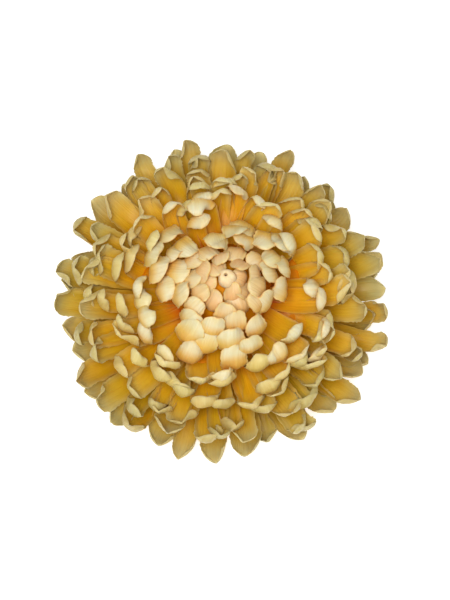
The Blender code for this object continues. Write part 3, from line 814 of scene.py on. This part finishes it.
class Finish:
    """A material under construction: each call adds a node and gives back its output."""

    def __init__(self, name):
        """An empty material of the given name, with its tree and shader at hand."""
        self.material = bpy.data.materials.new(name)
        self.material.use_nodes = True
        self.tree = self.material.node_tree
        self.shader = self.tree.nodes["Principled BSDF"]

    def put(self, value, socket):
        """Link an output to a socket, or set the socket to a constant."""
        if isinstance(value, bpy.types.NodeSocket):
            self.tree.links.new(value, socket)
        elif isinstance(value, tuple) and socket.type == "RGBA":
            socket.default_value = (*value, 1.0)
        else:
            socket.default_value = value

    def attribute(self, name):
        """A value that the mesh holds at each point."""
        node = self.tree.nodes.new("ShaderNodeAttribute")
        node.attribute_name = name
        return node.outputs["Fac"]

    def reckon(self, operation, a, b):
        """One step of arithmetic on two values."""
        node = self.tree.nodes.new("ShaderNodeMath")
        node.operation = operation
        self.put(a, node.inputs[0])
        self.put(b, node.inputs[1])
        return node.outputs[0]

    def times(self, a, b):
        """The product of two values."""
        return self.reckon("MULTIPLY", a, b)

    def between(self, value, low, high, to_low=0.0, to_high=1.0):
        """The value eased from to_low at low to to_high at high."""
        node = self.tree.nodes.new("ShaderNodeMapRange")
        node.interpolation_type = "SMOOTHSTEP"
        for number, socket in zip((value, low, high, to_low, to_high), node.inputs):
            self.put(number, socket)
        return node.outputs[0]

    def mix(self, share, a, b, mode="MIX"):
        """Colour a, turned into colour b, or multiplied by it, by the share (colours: sockets 6 and 7)."""
        node = self.tree.nodes.new("ShaderNodeMix")
        node.data_type = "RGBA"
        node.blend_type = mode
        for value, place in ((share, 0), (a, 6), (b, 7)):
            self.put(value, node.inputs[place])
        return node.outputs[2]

    def tint(self, share, colour, tint):
        """A colour multiplied by a tint, by the share."""
        return self.mix(share, colour, tint, "MULTIPLY")

    def ramp(self, value, stops):
        """The colour at a value, in straight lines from stop to stop."""
        node = self.tree.nodes.new("ShaderNodeValToRGB")
        self.put(value, node.inputs[0])
        row = node.color_ramp.elements
        row.remove(row[1])
        row[0].position, row[0].color = stops[0][0], (*stops[0][1], 1.0)
        for place, colour in stops[1:]:
            row.new(place).color = (*colour, 1.0)
        return node.outputs[0]

    def coordinates(self, output, scale=(1.0, 1.0, 1.0)):
        """Object or UV coordinates, stretched by a scale."""
        node = self.tree.nodes.new("ShaderNodeTexCoord")
        stretched = self.tree.nodes.new("ShaderNodeMapping")
        stretched.inputs["Scale"].default_value = scale
        self.put(node.outputs[output], stretched.inputs["Vector"])
        return stretched.outputs[0]

    def noise(self, vector, scale, detail=2.0, rough=0.5):
        """Soft random values about 0.5, in patches one over the scale wide."""
        node = self.tree.nodes.new("ShaderNodeTexNoise")
        self.put(vector, node.inputs["Vector"])
        for key, value in (("Scale", scale), ("Detail", detail), ("Roughness", rough)):
            node.inputs[key].default_value = value
        return node.outputs[0]

    def bump(self, height, strength, distance, below=None):
        """Relief from a height, on top of the relief below it."""
        node = self.tree.nodes.new("ShaderNodeBump")
        node.inputs["Strength"].default_value = strength
        node.inputs["Distance"].default_value = distance
        self.put(height, node.inputs["Height"])
        if below is not None:
            self.put(below, node.inputs["Normal"])
        return node.outputs[0]

    def shade(self, **values):
        """Set the shader's sockets: underscores in a name stand for spaces."""
        for key, value in values.items():
            self.put(value, self.shader.inputs[key.replace("_", " ")])
        return self.material


def petal_finish(name, look):
    """Soft petal: gold inside, cream behind and at the tip, peach in the middle, fine lengthwise veins.

    Front and back have colours over the distance from the tip. Over them go the peach, partly painted shade
    down the pad, the olive of the far tips, painted shade that darkens the bloom's rim, the golden hoods, a
    paler rim round each petal and a painted shadow line on its edge, and at last veins, blotches and the
    petal's own tone. All the tints only darken.
    """
    made = Finish(name)
    from_tip, inset, reach = made.attribute("from_tip"), made.attribute("inset"), made.attribute("reach")
    tone, back = made.attribute("tone"), made.attribute("back")
    place = made.reckon("DIVIDE", from_tip, PETAL_RUN)
    clouds = made.between(made.noise(made.coordinates("Object"), CLOUD_SCALE, detail=1.0), *CLOUD_BAND)
    front_colour, back_colour = made.ramp(place, look["front"]), made.ramp(place, look["back"])
    clouded = made.mix(made.times(clouds, CLOUD_SHARE), back_colour, front_colour)
    colour = made.mix(back, front_colour, clouded)

    # The middle's own peach, deepened away from the tip as painted shade under the next pad
    shade_down_pad = made.between(from_tip, *PEACH_RUN, PEACH_LEAST, 1.0)
    peach_and_shade = made.times(made.between(reach, *PEACH_REACH, PEACH_MOST, 0.0), shade_down_pad)
    peach_and_shade = made.times(peach_and_shade, made.times(made.between(from_tip, *PEACH_END, 1.0, 0.0), back))
    colour = made.mix(peach_and_shade, colour, PEACH_AND_SHADE)
    far = made.between(reach, *OLIVE_REACH, 0.0, OLIVE_MOST)
    olive = made.times(far, made.between(from_tip, *OLIVE_RUN, 1.0, 0.0))
    colour = made.mix(olive, colour, OLIVE_CREAM)
    # Painted shade: the petals darken towards the bloom's rim
    colour = made.tint(made.between(reach, *PAINTED_SHADE_REACH), colour, PAINTED_SHADE_TINT)
    colour = made.tint(made.times(back, made.between(reach, *HOOD_REACH)), colour, HOOD_TINT)

    near_tip = made.between(from_tip, *RIM_RUN, 1.0, RIM_LEAST)
    rim = made.times(made.between(inset, 0.0, look["margin"], 1.0, 0.0), near_tip)
    colour = made.mix(made.times(rim, look["rim_share"]), colour, look["rim"])
    # Painted shadow: a peach line along each petal's edge, for the shaded gaps between the pads
    shadow_line = made.between(inset, 0.0, SHADOW_LINE_WIDTH, 1.0, 0.0)
    shadow_line = made.times(shadow_line, made.between(reach, *SHADOW_LINE_REACH, 1.0, SHADOW_LINE_LEAST))
    colour = made.mix(made.times(shadow_line, look["shadow_line_share"]), colour, SHADOW_LINE_PEACH)

    veins = made.noise(made.coordinates("UV", VEIN_SCALE), 1.0, detail=3.0)
    blotches = made.noise(made.coordinates("Object"), BLOTCH_SCALE)
    colour = made.tint(made.between(veins, *VEIN_BAND, 0.0, VEIN_SHARE), colour, VEIN_TINT)
    colour = made.tint(made.between(blotches, *BLOTCH_BAND, 0.0, BLOTCH_SHARE), colour, BLOTCH_TINT)
    colour = made.tint(made.between(tone, 0.0, 1.0, 0.0, OLIVE_TINT_SHARE), colour, OLIVE_TINT)
    colour = made.tint(made.between(tone, -1.0, 0.0, WARM_TINT_SHARE, 0.0), colour, WARM_TINT)
    grain = made.noise(made.coordinates("Object"), GRAIN_SCALE)
    relief_below = made.bump(veins, *VEIN_RELIEF)
    return made.shade(
        Base_Color=colour,
        Roughness=made.between(blotches, *GLOSS_BAND, *PETAL_ROUGHNESS),
        Normal=made.bump(grain, *GRAIN_RELIEF, relief_below),
        **SHEEN,
        **SOFT_SKIN,
    )


def core_finish():
    """The claws' deep orange between the florets, mottled."""
    made = Finish("claw_orange")
    patches = made.noise(made.coordinates("Object"), CORE_SCALE)
    return made.shade(
        Base_Color=made.ramp(patches, CORE_COLOURS),
        Roughness=CORE_ROUGHNESS,
        Normal=made.bump(patches, *CORE_RELIEF),
        Specular_IOR_Level=CORE_SPECULAR,
    )


def knob_finish():
    """Mottled peach cream, with painted shade darkening down its pinhole."""
    made = Finish("knob_cream")
    mottle = made.noise(made.coordinates("Object"), KNOB_SCALE, detail=3.0)
    # Painted shade: dark down the pinhole, where the knob's pit lies in shade
    hole_shade = made.between(made.attribute("depth"), 0.0, PINHOLE_SHADE_RUN, 1.0, 0.0)
    return made.shade(
        Base_Color=made.mix(hole_shade, made.ramp(mottle, KNOB_COLOURS), PINHOLE_SHADE),
        Roughness=KNOB_ROUGHNESS,
        Normal=made.bump(mottle, *KNOB_RELIEF),
        **SOFT_SKIN,
    )


def green_finish(name, colours, scale):
    """Matt green plant skin with fibres, which a stretched noise draws."""
    made = Finish(name)
    fibres = made.noise(made.coordinates("Object", scale), 1.0, detail=4.0, rough=0.6)
    return made.shade(
        Base_Color=made.ramp(fibres, colours),
        Roughness=GREEN_ROUGHNESS,
        Normal=made.bump(fibres, *GREEN_RELIEF),
    )


def add_to_scene(name, data):
    """A new object in the scene with the given data."""
    thing = bpy.data.objects.new(name, data)
    bpy.context.scene.collection.objects.link(thing)
    return thing


def aim(thing, target):
    """Turn a camera or lamp so that it looks from its place at the target."""
    way = Vector(target) - thing.location
    thing.rotation_mode = "QUATERNION"
    thing.rotation_quaternion = way.to_track_quat("-Z", "Y")


def studio():
    """The camera, the soft light over the bloom, the pale surroundings and the floor."""
    lens = bpy.data.cameras.new("camera")
    lens.lens, lens.sensor_width = CAMERA_LENS, CAMERA_SENSOR
    camera = add_to_scene("camera", lens)
    tilt = math.radians(CAMERA_ELEVATION)
    camera.location = Vector(CAMERA_AIM) + CAMERA_DISTANCE * Vector((0.0, -math.cos(tilt), math.sin(tilt)))
    aim(camera, CAMERA_AIM)
    bpy.context.scene.camera = camera

    lamp = bpy.data.lights.new("soft_box", "AREA")
    lamp.size, lamp.energy = LAMP_SIZE, LAMP_ENERGY
    box = add_to_scene("soft_box", lamp)
    box.location = LAMP_PLACE
    aim(box, LAMP_AIM)

    world = bpy.data.worlds.new("white_room")
    bpy.context.scene.world = world
    world.use_nodes = True
    sky = world.node_tree.nodes["Background"]
    sky.inputs["Color"].default_value = (1.0, 1.0, 1.0, 1.0)
    sky.inputs["Strength"].default_value = ROOM_LIGHT

    mesh = bpy.data.meshes.new("floor")
    corners = [(x * FLOOR_HALF, y * FLOOR_HALF, 0.0) for x, y in ((-1, -1), (1, -1), (1, 1), (-1, 1))]
    mesh.from_pydata(corners, [], [(0, 1, 2, 3)])
    paper = Finish("white_paper").shade(
        Base_Color=(PAPER, PAPER, PAPER),
        Roughness=PAPER_ROUGHNESS,
        Emission_Color=(1.0, 1.0, 1.0),
        Emission_Strength=FLOOR_GLOW,
    )
    mesh.materials.append(paper)
    add_to_scene("floor", mesh)
    bpy.context.scene.view_settings.view_transform = "Standard"


closed, inner, outer, resting = florets()
mound_finish = petal_finish("mound_petal", MOUND_LOOK)
spread_finish = petal_finish("spread_petal", SPREAD_LOOK)
claws = core_finish()
stalk_green = green_finish("stalk_skin", STALK_COLOURS, STALK_FIBRES)
bract_green = green_finish("bract_green", BRACT_COLOURS, BRACT_FIBRES)
core = (CORE_SAMPLES, CORE_SIDES, CORE_RIBS, claws)

petals("closed_petals", closed, INNER_WALL, mound_finish, "inner_florets")
petals("inner_petals", inner, INNER_WALL, mound_finish, "inner_florets")
knob("knob", knob_finish(), "inner_florets")
ribbed("inner_base", INNER_CORE, *core, "inner_florets", "inner_petals")
petals("outer_petals", outer, OUTER_WALL, spread_finish, "outer_florets")
petals("resting_petals", resting, OUTER_WALL, spread_finish, "outer_florets")
ribbed("outer_base", OUTER_CORE, *core, "outer_florets", "outer_petals")
ribbed("stalk_skin", STALK, STALK_SAMPLES, STALK_SIDES, STALK_RIBS, stalk_green, "stalk", "stalk")
bracts("bracts", bract_green, "stalk")
studio()
